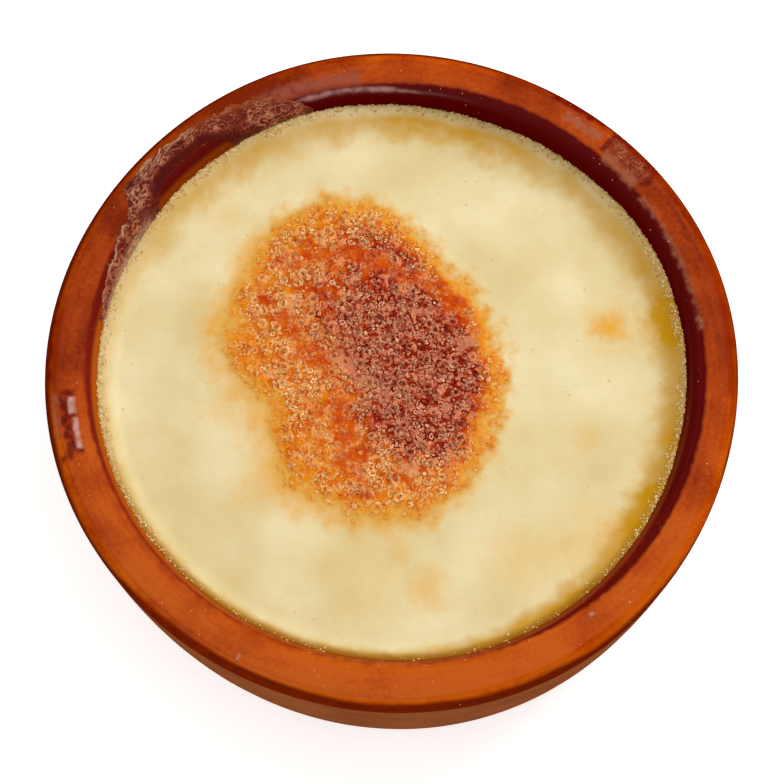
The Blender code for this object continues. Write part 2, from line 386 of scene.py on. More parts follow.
def bowlOutline():
    s = bowlShape
    footCentre = (s["hollowFootRadius"] - s["hollowRound"], s["floorThickness"] + s["hollowRound"])
    floor = np.vstack(((0.0, s["floorThickness"]),
                       arc(footCentre, s["hollowRound"], s["hollowRound"], -90.0, 0.0, 5)))
    wallTop = s["height"] - s["rimRoundDrop"]
    heights = np.linspace(wallTop, s["heelRound"], 40)[1:]
    wall = np.column_stack((outerRadius(heights), heights))
    heelFoot = outerRadius(s["heelRound"]) - s["heelRound"]
    heel = arc((heelFoot, s["heelRound"]), s["heelRound"], s["heelRound"], 0.0, -90.0, 8)[1:]
    return np.vstack((floor, lipRoll(22), rimTop(22, 10), wall, heel, (0.0, 0.0)))


def newTree(name, *sockets):
    # an empty Geometry Nodes tree, its inputs' identifiers by name, what adds nodes, and its inputs
    tree = bpy.data.node_groups.new(name, "GeometryNodeTree")
    face = tree.interface
    face.new_socket("Geometry", in_out="INPUT", socket_type="NodeSocketGeometry")
    face.new_socket("Geometry", in_out="OUTPUT", socket_type="NodeSocketGeometry")
    named = {key: face.new_socket(key, in_out="INPUT", socket_type="NodeSocket" + kind).identifier
             for key, kind in sockets}
    return tree, named, partial(addNode, tree), addNode(tree, "NodeGroupInput").outputs


def runTree(name, base, growth, values, material):
    # runs a node tree on a mesh and keeps the result as a plain mesh object
    tree, named = growth
    piece = newPiece(name, base)
    grow = piece.modifiers.new("grow", "NODES")
    grow.node_group = tree
    for key, value in values.items():
        grow[named[key]] = value
    result = bpy.data.meshes.new_from_object(piece.evaluated_get(bpy.context.evaluated_depsgraph_get()))
    piece.modifiers.clear()
    piece.data = result
    result.name = name
    result.materials.clear()
    result.materials.append(material)
    return piece


def turningTree():
    # sweeps an outline round a circle and presses finger ridges into the outer wall
    s = bowlShape
    tree, named, node, start = newTree(
        "turnedBowl", ("Outline", "Object"), ("Segments", "Int"), ("Sweep Radius", "Float"),
        ("Ridge Depth", "Float"), ("Ridge Spacing", "Float"), ("Glaze", "Material"))
    outline = node("GeometryNodeObjectInfo", {"Object": start["Outline"]}).outputs["Geometry"]
    circle = node("GeometryNodeCurvePrimitiveCircle",
                  {"Resolution": start["Segments"], "Radius": start["Sweep Radius"]})
    swept = node("GeometryNodeCurveToMesh", {"Curve": circle, "Profile Curve": outline})
    welded = node("GeometryNodeMergeByDistance", {"Geometry": swept, "Distance": 0.00001})
    place = node("GeometryNodeInputPosition")
    parts = node("SeparateXYZ", {0: place}).outputs
    flat = node("CombineXYZ", {0: parts[0], 1: parts[1]})
    radius = node("VectorMath", {0: flat}, operation="LENGTH").outputs["Value"]
    outward = node("VectorMath", {0: flat}, operation="NORMALIZE")
    drift = node("TexNoise", {"Vector": place, "Scale": 22.0, "Detail": 1.0})
    turns = node("Math", {0: parts[2], 1: start["Ridge Spacing"]}, operation="DIVIDE")
    wander = node("Math", {0: drift, 1: s["ridgeWander"], 2: turns}, operation="MULTIPLY_ADD")
    phase = node("Math", {0: wander, 1: math.tau}, operation="MULTIPLY")
    ridge = node("Math", {0: phase}, operation="SINE")
    outside, below = (node("MapRange", {0: value, 1: ends[0], 2: ends[1]}, **eased)
                      for value, ends in ((radius, s["ridgeRadius"]), (parts[2], s["ridgeHeight"])))
    fade = node("Math", {0: outside, 1: below}, operation="MULTIPLY")
    depth = node("Math", {0: fade, 1: start["Ridge Depth"]}, operation="MULTIPLY")
    push = node("Math", {0: ridge, 1: 1.0}, operation="SUBTRACT")      # inwards only
    size = node("Math", {0: push, 1: depth}, operation="MULTIPLY")
    offset = node("VectorMath", {0: outward, "Scale": size}, operation="SCALE")
    moved = node("GeometryNodeSetPosition", {"Geometry": welded, "Offset": offset})
    soft = node("GeometryNodeSetShadeSmooth", {"Geometry": moved})
    real = node("GeometryNodeRealizeInstances", {"Geometry": soft})
    coated = node("GeometryNodeSetMaterial", {"Geometry": real, "Material": start["Glaze"]})
    node("NodeGroupOutput", {0: coated})
    return tree, named


def markDepth(kind, radius, degrees):
    # how far inside the nearest mark of a kind each place lies, in mm, negative outside
    depth = np.full(len(radius), -9.0)
    for start, end, inner, outer in rimMarks[kind]:
        turn = np.abs(np.mod(degrees - (start + end) / 2.0 + 180.0, 360.0) - 180.0)
        along = ((end - start) / 2.0 - turn) * np.radians(1.0) * radius
        across = (outer - inner) / 2.0 - np.abs(radius - (inner + outer) / 2.0)
        depth = np.maximum(depth, np.minimum(along, across))
    return depth


def makeBowl():
    s = bowlShape
    glaze = clearGlazeOnRedClay()
    curve = bpy.data.curves.new("bowlOutline", "CURVE")
    curve.dimensions = "3D"
    points = bowlOutline()
    spline = curve.splines.new("POLY")
    spline.points.add(len(points) - 1)
    for point, (radius, height) in zip(spline.points, points):
        point.co = (radius - s["sweepRadius"], -height, 0.0, 1.0)
    outline = bpy.data.objects.new("bowlOutline", curve)
    bpy.context.scene.collection.objects.link(outline)
    values = {"Outline": outline, "Segments": s["segments"], "Sweep Radius": s["sweepRadius"],
              "Ridge Depth": s["ridgeDepth"], "Ridge Spacing": s["ridgeSpacing"], "Glaze": glaze}
    bowl = runTree("glazedBowl", bpy.data.meshes.new("bowlBase"), turningTree(), values, glaze)
    bpy.data.objects.remove(outline, do_unlink=True)
    places = thrownByHand(meshPoints(bowl.data))
    bowl.data.vertices.foreach_set("co", places.ravel())
    radius = np.hypot(places[:, 0], places[:, 1]) * 1000.0
    degrees = heading(places[:, 0], places[:, 1])
    onTop = np.where(places[:, 2] > s["height"] - s["lipRollDrop"], 0.0, -9.0)
    fields = {kind: markDepth(kind, radius, degrees) + onTop for kind in sorted(rimMarks)}
    fields["litRim"] = roundTheBowl(litRimTone, degrees)
    fields["lipLit"] = roundTheBowl(lipLitShare, degrees)
    fields["pool"] = roundTheBowl(poolEdge, degrees) - radius
    outerEdge = (s["rimRadius"] + outOfRound(np.radians(degrees))) * 1000.0
    fields["brink"] = radius - outerEdge + roundTheBowl(edgeWidth, degrees)
    lineRadius = np.interp(np.mod(degrees, 360.0), *zip(*gleam["line"]))
    ends = smooth(degrees, *gleam["start"]) * smooth(degrees, *gleam["end"])
    fields["gleam"] = gleam["halfWidth"] * (1.8 * ends - 0.8) - np.abs(radius - lineRadius) + onTop
    storeFields(bowl.data, fields)
    outwards(bowl.data)
    finished(bowl, "glazed_clay", "bowl")


# materials: a noise scale counts patterns in a metre, so 1000 is about 1 mm from one to the next
glazeColours = {
    "land": ("#7E2200", "#B04002", "#C6580C"),      # thin glaze over orange clay, dark to light
    "pooled": "#5A0301",                            # thick glaze on the lip: deep maroon
    "litLipTones": ("#7A1604", "#B4560E"),              # painted light on the lip's top, and its foot
    "edge": "#621604",                              # rounded outer edge
    "wall": ("#7E4224", "#92532F"),
    "scar": ("#6E1404", "#B4683E"),
    "shade": "#8C2400",
    "dark": "#6A0E04",
    # smears: dried milk, with the lamp's painted sheen; sheen and gleam are painted sheen of the lamp too
    "smear": "#A25C3E",
    "sheen": "#94503E",
    "gleam": "#B8827C",
    # highlight streak: painted highlight of the lamp
    "streak": "#D09A8C",
}

# painted light and shade on the rim's glaze, lighter along the front, darker at the back and sides: degrees,
# 1 for the lightest
litRimTone = ((0, 0.58), (30, 0.80), (60, 0.78), (90, 0.78), (120, 0.55), (150, 0.62), (180, 0.62),
            (205, 1.02), (240, 1.05), (270, 1.15), (300, 1.0), (330, 1.1))

# width in mm of the dark line where the rim turns down, by degrees
edgeWidth = ((0, 0.3), (25, 0.55), (45, 0.75), (62, 1.0), (80, 0.85), (105, 0.85), (130, 0.9), (180, 0.9),
             (200, 0.7), (218, 0.5), (232, 1.3), (246, 1.2), (262, 0.95), (285, 0.95), (303, 0.7),
             (330, 0.3))

# the window's light on the lip, painted on as a pink line: degrees, mm from the axis
gleam = {
    "line": ((76.0, 48.0), (80.5, 48.3), (86.5, 48.8), (92.0, 49.1), (99.0, 49.35), (108.0, 49.35),
             (113.0, 49.1)),
    "halfWidth": 0.6,
    "start": (74.0, 92.0),      # it swells between these degrees
    "end": (115.0, 106.0),
}

# painted light on the lip, orange-red where it faces the light: degrees, share
lipLitShare = ((0, 0.0), (112, 0.0), (122, 0.35), (142, 0.45), (155, 0.7), (180, 1.0), (230, 1.0), (262, 0.9),
             (285, 0.75), (305, 0.6), (325, 0.45), (345, 0.2))

# how far out the pooled glaze reaches: degrees, mm from the axis
poolEdge = ((0, 50.7), (60, 50.4), (90, 50.1), (165, 50.0), (180, 49.7), (210, 48.9), (240, 48.4),
            (268, 48.5), (285, 49.1), (300, 49.8), (315, 50.4), (330, 50.6))

# zones of the clay's surface: measured on, from, to in metres, and how they blend
glazeZones = {
    "lipInside": ("height", 0.030, 0.034, "LINEAR"),
    "lipFoot": ("height", 0.0393, 0.0384, "SMOOTHSTEP"),
    "underRim": ("height", 0.0378, 0.0370, "SMOOTHSTEP"),
    "turnDown": ("height", 0.0366, 0.0376, "SMOOTHSTEP"),
    "lowWall": ("height", 0.030, 0.029, "LINEAR"),
    "outside": ("radius", 0.0500, 0.0512, "LINEAR"),
    "outerEdge": ("radius", 0.0540, 0.0546, "LINEAR"),
}

# noise in the glaze: scale, detail and distortion
glazeNoise = {"clouds": (90.0, 4.0, 0.0), "grit": (1400.0, 2.0, 0.0), "fray": (700.0, 5.0, 0.0),
              "strings": (1900.0, 4.0, 1.5), "peel": (420.0, 3.0, 0.0)}

# marks from the lowest up: how ragged and how soft the edge is in mm, and how much it covers
glazeMarks = {"shade": (2.4, 2.6, 0.8), "dark": (2.0, 0.9, 0.95), "scar": (2.6, 1.8, 0.95),
              "smear": (1.6, 0.9, 0.8), "sheen": (2.0, 2.4, 0.85), "gleam": (0.5, 0.7, 0.8),
              "streak": (0.8, 0.6, 0.95)}


def clearGlazeOnRedClay():
    # clear glaze over red clay: wet-looking, orange where it is thin, maroon where it ran thick
    made, node, finish = newMaterial("clearGlazeOnRedClay")
    c = glazeColours
    spot = node("TexCoord").outputs["Object"]
    parts = node("SeparateXYZ", {0: spot}).outputs
    flat = node("CombineXYZ", {0: parts[0], 1: parts[1]})
    radius = node("VectorMath", {0: flat}, operation="LENGTH").outputs["Value"]
    zone = {name: node("MapRange", {0: parts[2] if base == "height" else radius, 1: start, 2: end},
                       interpolation_type=blend)
            for name, (base, start, end, blend) in glazeZones.items()}
    grain = {name: node("TexNoise", {"Vector": spot, "Scale": scale, "Detail": detail,
                                     "Distortion": distortion})
             for name, (scale, detail, distortion) in glazeNoise.items()}
    field = {name: node("Attribute", attribute_name=name).outputs["Fac"]
             for name in ("litRim", "pool", "lipLit", "brink", *glazeMarks)}

    # brush strokes that run round the bowl, clouds and grit
    around = node("VectorMath", {0: flat}, operation="NORMALIZE")
    across = node("Math", {0: radius, 1: parts[2]}, operation="SUBTRACT")
    lift = node("Math", {0: across, 1: 900.0}, operation="MULTIPLY")
    ring = node("VectorMath", {0: around, 1: (5.0, 5.0, 5.0)}, operation="MULTIPLY")
    rise = node("CombineXYZ", {2: lift})
    turned = node("VectorMath", {0: ring, 1: rise}, operation="ADD")
    brush = node("TexNoise", {"Vector": turned, "Scale": 1.0, "Detail": 3.0})
    blend = node("Mix", {0: 0.25, 2: grain["clouds"], 3: brush})
    blend = node("Mix", {0: 0.18, 2: blend, 3: grain["grit"]})
    # painted light and shade round the rim, from its table by angle
    litShift = node("MapRange", {0: field["litRim"], 1: 0.55, 2: 1.1, 3: -0.14, 4: 0.10})
    litShift = node("Math", {0: blend, 1: litShift}, operation="ADD")
    colour = node("ValToRGB", {0: litShift}, stops=zip((0.33, 0.49, 0.63), c["land"]))

    # the glaze that ran thick round the lip, with a soft, slightly uneven edge
    ragged = node("Math", {0: grain["fray"], 1: 0.9, 2: field["pool"]}, operation="MULTIPLY_ADD")
    pooled = node("MapRange", {0: ragged, 1: 0.1, 2: 0.9}, **eased)
    pooled = node("Math", {0: pooled, 1: zone["lipInside"]}, operation="MULTIPLY")
    # painted light on the lip's top and its foot, where the lip faces the light
    faint = node("Math", {0: field["lipLit"], 1: 2.5}, operation="POWER")
    glow = node("Math", {0: zone["lipFoot"], 1: field["lipLit"]}, operation="MULTIPLY")
    lipTone = linear(c["pooled"])
    for share, tone in zip((faint, glow), c["litLipTones"]):
        lipTone = node("Mix", {0: share, 6: lipTone, 7: linear(tone)}, data_type="RGBA").outputs[2]

    # the dull wall below the rim, and the dark line where the rim turns down to it
    wallTone = node("ValToRGB", {0: blend}, stops=zip((0.35, 0.65), c["wall"]))
    outside = node("Math", {0: zone["outside"], 1: zone["lowWall"]}, operation="MAXIMUM")
    wall = node("Math", {0: zone["underRim"], 1: outside}, operation="MULTIPLY")
    uneven = node("Math", {0: grain["clouds"], 1: 1.2, 2: field["brink"]}, operation="MULTIPLY_ADD")
    edge = node("MapRange", {0: uneven, 1: 0.35, 2: 1.05, 4: 0.95}, **eased)
    edge = node("Math", {0: edge, 1: zone["turnDown"]}, operation="MULTIPLY")
    layers = [(pooled, lipTone), (wall, wallTone), (edge, linear(c["edge"]))]

    scarTone = node("ValToRGB", {0: grain["strings"]}, stops=zip((0.42, 0.62), c["scar"]))
    patchy = node("MapRange", {0: grain["fray"], 1: 0.38, 2: 0.56, 3: 0.55})
    masks = {}
    for kind, (rough, soft, most) in glazeMarks.items():
        frayed = node("Math", {0: grain["fray"], 1: rough, 2: field[kind]}, operation="MULTIPLY_ADD")
        start = 0.45 * rough
        share = node("MapRange", {0: frayed, 1: start, 2: start + soft, 4: most}, **eased)
        masks[kind] = node("Math", {0: share, 1: patchy}, operation="MULTIPLY")
        layers.append((masks[kind], scarTone if kind == "scar" else linear(c[kind])))
    for share, tone in layers:
        colour = node("Mix", {0: share, 6: colour, 7: tone}, data_type="RGBA").outputs[2]

    rubbed = node("Math", {0: grain["strings"], 1: masks["scar"]}, operation="MULTIPLY")
    relief = node("Math", {0: rubbed, 1: 2.0, 2: grain["peel"]}, operation="MULTIPLY_ADD")
    dry = node("Math", {0: zone["outerEdge"], 1: wall}, operation="MAXIMUM")
    dull = node("Math", {0: dry, 1: masks["scar"]}, operation="MAXIMUM")
    sheltered = node("Math", {0: zone["lipFoot"], 1: pooled}, operation="MULTIPLY")
    quiet = node("Math", {0: dry, 1: sheltered}, operation="MAXIMUM")      # mirrors nothing
    finish({
        "Base Color": colour, "Coat Roughness": 0.15,
        "Normal": node("Bump", {"Strength": 0.3, "Distance": 0.00025, "Height": relief}),
        "Roughness": node("MapRange", {0: dull, 3: 0.30, 4: 0.55}),
        "Specular IOR Level": node("MapRange", {0: quiet, 3: 0.14, 4: 0.0}),
        "Coat Weight": node("MapRange", {0: quiet, 3: 0.10, 4: 0.0})})
    return made


puddingColours = {
    "cream": ("#E2CC92", "#EAD8A4", "#F3E4B6"),
    # gold: browned skin on the sloping edge, with painted shade of the wall in it
    "goldAndShade": "#D29A00",
    "blush": "#E8A608",
    # olive: thin skin over the clay, with painted shade in the corner at the wall
    "oliveAndShade": "#A0660A",
    "glow": "#EAA62E",
    "caramel": ("#E8860E", "#D86004", "#C43E00", "#981A00"),   # bare, from least to most scorched
    "veil": ("#F6B05E", "#E88E52", "#E08660"),                 # milk froth dried over it
    "sheenPatch": ("#EA9A58", "#CC7C5E"),                            # painted reflection of the lamp on smooth caramel
    "outline": ("#BE5206", "#A03000", "#5E0400"),              # painted shade round each small bubble
    "hollow": ("#DC6A04", "#A81E00"),
    # glint: painted highlight on each bubble's lip
    "glint": ("#FFDC98", "#F6AE86"),
}

# noise in the skin: scale and detail
skinNoise = {"slow": (75.0, 4.0), "mottle": (420.0, 4.0), "thick": (620.0, 4.0), "pores": (700.0, 3.0)}


def bakedMilkSkin():
    # set milk and rice skin: satin, light goes a little way in, brown where its sugar caught
    made, node, finish = newMaterial("bakedMilkSkin")
    c = puddingColours
    spot = node("TexCoord").outputs["Object"]
    grain = {name: node("TexNoise", {"Vector": spot, "Scale": scale, "Detail": detail})
             for name, (scale, detail) in skinNoise.items()}
    field = {name: node("Attribute", attribute_name=name).outputs["Fac"]
             for name in ("scorch", "char", "glow", "goldAndShade", "blush", "oliveAndShade", "foam", "sheenPatch", "rim", "pit")}
    mottle = node("Math", {0: grain["mottle"], 1: 0.5}, operation="SUBTRACT")
    patchy = node("Math", {0: mottle, 1: 1.4, 2: field["char"]}, operation="MULTIPLY_ADD")
    caught = node("MapRange", {0: field["scorch"], 1: -1.2, 2: 2.4}, **eased)

    # each tone, what it runs along, and where its first and last colours stand
    char, tones = field["char"], {}
    for name, value, low, high in (("cream", grain["slow"], 0.3, 0.72), ("caramel", patchy, 0.05, 0.95),
                                   ("veil", char, 0.15, 0.85), ("sheenPatch", char, 0.2, 0.7),
                                   ("hollow", char, 0.2, 0.8), ("outline", char, 0.15, 0.75),
                                   ("glint", char, 0.2, 0.8)):
        places = np.linspace(low, high, len(c[name]))
        tones[name] = node("ValToRGB", {0: value}, stops=zip(places, c[name]))

    # layers of colour: the shares that are multiplied together, and the tone
    layers = [((field[name],), linear(c[name])) for name in ("goldAndShade", "blush", "oliveAndShade", "glow")]
    layers.append(((caught,), tones["caramel"]))
    thick = node("Math", {0: field["foam"], 1: 0.16, 2: grain["thick"]}, operation="MULTIPLY_ADD")
    veil = node("MapRange", {0: thick, 1: 0.60, 2: 0.70, 4: 0.85}, **eased)
    deep = node("MapRange", {0: field["scorch"], 1: 0.0, 2: 5.0}, **eased)
    # the froth veil, then the painted reflection on smooth caramel
    layers += [((veil, deep), tones["veil"]), ((field["sheenPatch"],), tones["sheenPatch"])]

    # bubbles about 1.6 and 1 mm apart, bent out of round: an outline of painted shade, a hollow, and a
    # painted highlight on the lip each
    bend = node("TexNoise", {"Vector": spot, "Scale": 800.0, "Detail": 2.0}).outputs["Color"]
    bend = node("VectorMath", {0: bend, 1: (0.5, 0.5, 0.5)}, operation="SUBTRACT")
    bend = node("VectorMath", {0: bend, "Scale": 0.0013}, operation="SCALE")
    bent = node("VectorMath", {0: spot, 1: bend}, operation="ADD")
    bold = node("MapRange", {0: char, 1: 0.1, 2: 0.6, 3: 0.6, 4: 1.0})
    busy = node("Math", {0: field["foam"], 1: field["sheenPatch"]}, operation="SUBTRACT")
    busy = node("Clamp", {0: busy})
    relief = field["rim"]
    for scale, weight in ((620.0, 1.0), (1020.0, 0.9)):
        cell = node("TexVoronoi", {"Vector": bent, "Scale": scale}, voronoi_dimensions="2D").outputs
        pick = node("SeparateColor", {0: cell["Color"]}).outputs
        reach = node("MapRange", {0: pick[0], 3: 0.16, 4: 0.42})
        gap = node("Math", {0: cell["Distance"], 1: reach}, operation="SUBTRACT")
        hollowed, lit = (node("MapRange", {0: pick[i], 1: 0.3, 2: 0.6}) for i in (2, 1))
        edge = node("Math", {0: gap}, operation="ABSOLUTE")
        lip = node("Math", {0: gap, 1: 0.16}, operation="ADD")
        lip = node("Math", {0: lip}, operation="ABSOLUTE")
        # what each tone goes by, where it starts and is full, and which bubbles have it
        for name, away, start, full, which in (("hollow", gap, 0.0, -0.14, hollowed),
                                               ("outline", edge, 0.12, 0.04, bold),
                                               ("glint", lip, 0.1, 0.03, lit)):
            drawn = node("MapRange", {0: away, 1: start, 2: full, 4: weight}, **eased)
            layers.append(((drawn, busy, which), tones[name]))
        bulge = node("MapRange", {0: gap, 1: 0.1, 2: -0.2}, **eased)
        bulge = node("Math", {0: bulge, 1: busy}, operation="MULTIPLY")
        relief = node("Math", {0: bulge, 1: relief}, operation="ADD")
    # painted shade in the stamped pits and a painted highlight on their rings
    layers += [((field["pit"], char, 0.7), linear(c["outline"][2])), ((field["rim"], 0.5), tones["glint"])]

    colour = tones["cream"]
    for shares, tone in layers:
        share = shares[0]
        for other in shares[1:]:
            share = node("Math", {0: share, 1: other}, operation="MULTIPLY")
        colour = node("Mix", {0: share, 6: colour, 7: tone}, data_type="RGBA").outputs[2]
    height = node("Math", {0: relief, 1: 0.8, 2: grain["pores"]}, operation="MULTIPLY_ADD")
    bump = node("Bump", {"Strength": 0.35, "Distance": 0.0002, "Height": height})
    # light goes into the pale skin, and the caramel is glassier: from, to, most
    gloss = {socket: node("MapRange", {0: caught, 1: start, 2: end, 4: most}, **eased)
             for socket, start, end, most in (("Subsurface Weight", 1.0, 0.0, 0.3),
                                              ("Coat Weight", 0.0, 1.0, 0.15),
                                              ("Specular IOR Level", 1.4, 0.0, 0.26))}
    finish({"Base Color": colour, "Normal": bump, "Coat Roughness": 0.08, "Roughness": 0.42,
            "Subsurface Radius": (1.0, 0.6, 0.3), "Subsurface Scale": 0.0012, **gloss})
    return made


blisterColours = {"pale": ("#FCC474", "#EE9A74"), "brown": ("#D06208", "#9C1C00")}


def caramelBlister():
    # blown milk bubbles that set and browned: thin glossy skins, pale rims and rusty hollows
    made, node, finish = newMaterial("caramelBlister")
    tone, char = (node("Attribute", attribute_name=name).outputs["Fac"] for name in ("tone", "char"))
    pale, brown = (node("Mix", {0: char, 6: linear(mild), 7: linear(burnt)}, data_type="RGBA").outputs[2]
                   for mild, burnt in blisterColours.values())
    browned = node("MapRange", {0: tone, 1: 0.35, 2: 0.65})
    colour = node("Mix", {0: browned, 6: pale, 7: brown}, data_type="RGBA").outputs[2]
    spot = node("TexCoord").outputs["Object"]
    grain = node("TexNoise", {"Vector": spot, "Scale": 3000.0})
    bump = node("Bump", {"Strength": 0.2, "Distance": 0.00005, "Height": grain})
    finish({"Base Color": colour, "Normal": bump, "Roughness": 0.3, "Specular IOR Level": 0.08,
            "Coat Weight": 0.15, "Coat Roughness": 0.06, "Subsurface Weight": 0.5,
            "Subsurface Radius": (1.0, 0.3, 0.08), "Subsurface Scale": 0.0004})
    return made


frothColours = ("#CC9648", "#E8BE74", "#F8E2AC")


def driedFroth():
    # beads of milk froth dried on the wall and specks of skin: cream to white, slightly glassy
    made, node, finish = newMaterial("driedFroth")
    tone = node("Attribute", attribute_name="tone").outputs["Fac"]
    colour = node("ValToRGB", {0: tone}, stops=zip((0.0, 0.45, 1.0), frothColours))
    spot = node("TexCoord").outputs["Object"]
    grain = node("TexNoise", {"Vector": spot, "Scale": 4000.0})
    rough = node("MapRange", {0: grain, 3: 0.2, 4: 0.45})
    finish({"Base Color": colour, "Roughness": rough, "Specular IOR Level": 0.25,
            "Subsurface Weight": 0.2, "Subsurface Scale": 0.0003})
    return made


filmColours = {"creases": ("#540A02", "#7E2A16", "#BE7650"), "pale": "#DEC4A0", "worn": "#943C0C"}


def driedMilkFilm():
    # milk skin dried onto glaze: a wrinkled brown-mauve film, lighter along its creases
    made, node, finish = newMaterial("driedMilkFilm")
    field = {name: node("Attribute", attribute_name=name).outputs["Fac"]
             for name in ("crease", "pale", "worn")}
    colour = node("ValToRGB", {0: field["crease"]}, stops=zip((0.15, 0.45, 0.85), filmColours["creases"]))
    for name in ("pale", "worn"):
        colour = node("Mix", {0: field[name], 6: colour, 7: linear(filmColours[name])},
                      data_type="RGBA").outputs[2]
    spot = node("TexCoord").outputs["Object"]
    grain = node("TexNoise", {"Vector": spot, "Scale": 1800.0, "Detail": 3.0})
    bump = node("Bump", {"Strength": 0.4, "Distance": 0.0001, "Height": grain})
    finish({"Base Color": colour, "Normal": bump, "Roughness": 0.4, "Specular IOR Level": 0.25,
            "Subsurface Weight": 0.1, "Subsurface Scale": 0.0004})
    return made


def discGrid(cells):
    # points of a square grid pressed into a unit disc, its quads, and its rim in order
    line = np.linspace(-1.0, 1.0, cells + 1)
    a, b = (g.ravel() for g in np.meshgrid(line, line, indexing="xy"))
    wide = np.abs(a) > np.abs(b)
    safeA = np.where(a == 0.0, 1.0, a)
    safeB = np.where(b == 0.0, 1.0, b)
    radius = np.where(wide, a, b)
    angle = np.where(wide, math.pi / 4.0 * b / safeA, math.pi / 2.0 - math.pi / 4.0 * a / safeB)
    points = np.column_stack((radius * np.cos(angle), radius * np.sin(angle)))
    row = cells + 1
    faces = [(j * row + i, j * row + i + 1, (j + 1) * row + i + 1, (j + 1) * row + i)
             for j in range(cells) for i in range(cells)]
    rim = list(range(cells)) + [j * row + cells for j in range(cells)]
    rim += [cells * row + cells - i for i in range(cells)] + [(cells - j) * row for j in range(cells)]
    return points, faces, rim


def closedBelow(points, faces, rim, rings, bottom):
    # closes a skin with rings of points under its rim and a fan to one point at the bottom
    count, size = len(points), len(rim)
    loops = [rim] + [list(range(count + k * size, count + (k + 1) * size)) for k in range(len(rings))]
    for upper, lower in zip(loops, loops[1:]):
        faces = faces + [(upper[i], lower[i], lower[(i + 1) % size], upper[(i + 1) % size])
                         for i in range(size)]
    last, centre = loops[-1], count + size * len(rings)
    faces = faces + [(last[i], centre, last[(i + 1) % size]) for i in range(size)]
    return np.vstack([points] + rings + [np.array([bottom])]), faces


def slopeWidth(angle):
    s = skinShape
    width = s["slopeWidth"] + s["slopeWiderAtBack"] * np.sin(angle) + s["slopeWiderAtRight"] * np.cos(angle)
    return width - s["slopeNarrowerAtSides"] * np.cos(2.0 * angle)


def scorchReach(degrees):
    # distance in mm from the scorch's middle to its outline, rounded between the table's rows
    turns = (-12.0, -6.0, 0.0, 6.0, 12.0)
    return sum(roundTheBowl(scorch["outline"], degrees + turn) for turn in turns) / len(turns)


def scorchDepth(x, y):
    # how far inside the scorch's plain outline each place lies, in mm
    dx, dy = x - scorch["middle"][0], y - scorch["middle"][1]
    return scorchReach(heading(dx, dy)) - np.hypot(dx, dy)


def skinHeight(x, y, contact):
    # height of the plain skin over places in mm: climb at the wall, slow waves, rise at the scorch
    s = skinShape
    depth = scorchDepth(x, y)
    x, y = x * 0.001, y * 0.001
    radius, angle = np.hypot(x, y), np.arctan2(y, x)
    share = np.clip((s["solidEdge"] - radius) / slopeWidth(angle), 0.0, 1.0)
    level = bowlShape["height"] - s["levelDrop"]
    climb = (contact - level) * (1.0 - share) ** s["slopePower"]
    waves = 0.0
    for size, length, heading, phase in s["waves"]:
        turn = math.radians(heading)
        waves = waves + size * np.sin(math.tau * (x * math.cos(turn) + y * math.sin(turn)) / length + phase)
    rise = scorch["rise"] * 0.001 * smooth(depth / scorch["fade"] + 0.5, 0.0, 1.0)
    return level + climb + share * (s["domeHeight"] * (1.0 - (radius / s["solidEdge"]) ** 2) + waves + rise)


def awayFrom(path, x, y):
    # distance from each place to a line of points, in mm
    best = np.full(len(x), 99.0)
    for (ax, ay), (bx, by) in zip(path[:-1], path[1:]):
        lengthSquared = (bx - ax) ** 2 + (by - ay) ** 2
        share = np.clip(((x - ax) * (bx - ax) + (y - ay) * (by - ay)) / lengthSquared, 0.0, 1.0)
        best = np.minimum(best, np.hypot(x - ax - share * (bx - ax), y - ay - share * (by - ay)))
    return best


def scorchTones(x, y, slow, fine):
    # shares of scorch, char, glow, froth and painted reflection on smooth caramel over places in mm
    broad = cloudy(x, y, 15.0, 3.0, 2)
    patches = cloudy(x, y, 4.0, 5.0, 3)
    s = scorch
    inside = scorchDepth(x, y) + s["raggedSlow"] * slow + s["raggedFine"] * fine
    turn = math.radians(s["darkHeading"])
    dx, dy = x - s["darkMiddle"][0], y - s["darkMiddle"][1]
    along = (dx * math.cos(turn) + dy * math.sin(turn)) / s["darkLength"]
    across = (dy * math.cos(turn) - dx * math.sin(turn)) / s["darkWidth"]
    core = np.hypot(along, across) + 0.22 * slow + 0.16 * fine + 0.12 * broad
    bare = np.zeros(len(x))
    for path in s["bareBelts"]:
        near = awayFrom(path, x, y) / s["beltWidth"] + 1.1 * patches + 0.4 * fine
        bare = np.maximum(bare, 1.0 - smooth(near, 0.2, 1.7))
    char = (1.0 - s["milderOutside"] * smooth(core, *s["coreFade"])) * smooth(inside, *s["charFade"])
    char = char + bare * (s["beltChar"] - char) * 0.8 * smooth(inside, 0.0, 3.0)
    foam = (0.3 + 0.7 * smooth(patches + 0.3 * fine + 0.5 * char, -0.35, 0.30)) * smooth(inside, -1.8, 1.5)
    foam = foam * (1.0 - 0.7 * bare)
    # smooth caramel with a painted reflection of the lamp
    sheenPatch = np.zeros(len(x))
    for px, py, size in s["sheenPatches"]:
        near = np.hypot(x - px, y - py) / size + 0.9 * patches + 0.4 * fine
        sheenPatch = np.maximum(sheenPatch, 0.85 * (1.0 - smooth(near, 0.5, 1.0)))
    reach = roundTheBowl(s["glowReach"], heading(x - s["middle"][0], y - s["middle"][1]))
    glow = smooth((inside + 0.8 * patches) / reach, -1.3, 0.2)
    return {"scorch": inside, "char": char, "glow": glow, "foam": foam, "sheenPatch": sheenPatch}


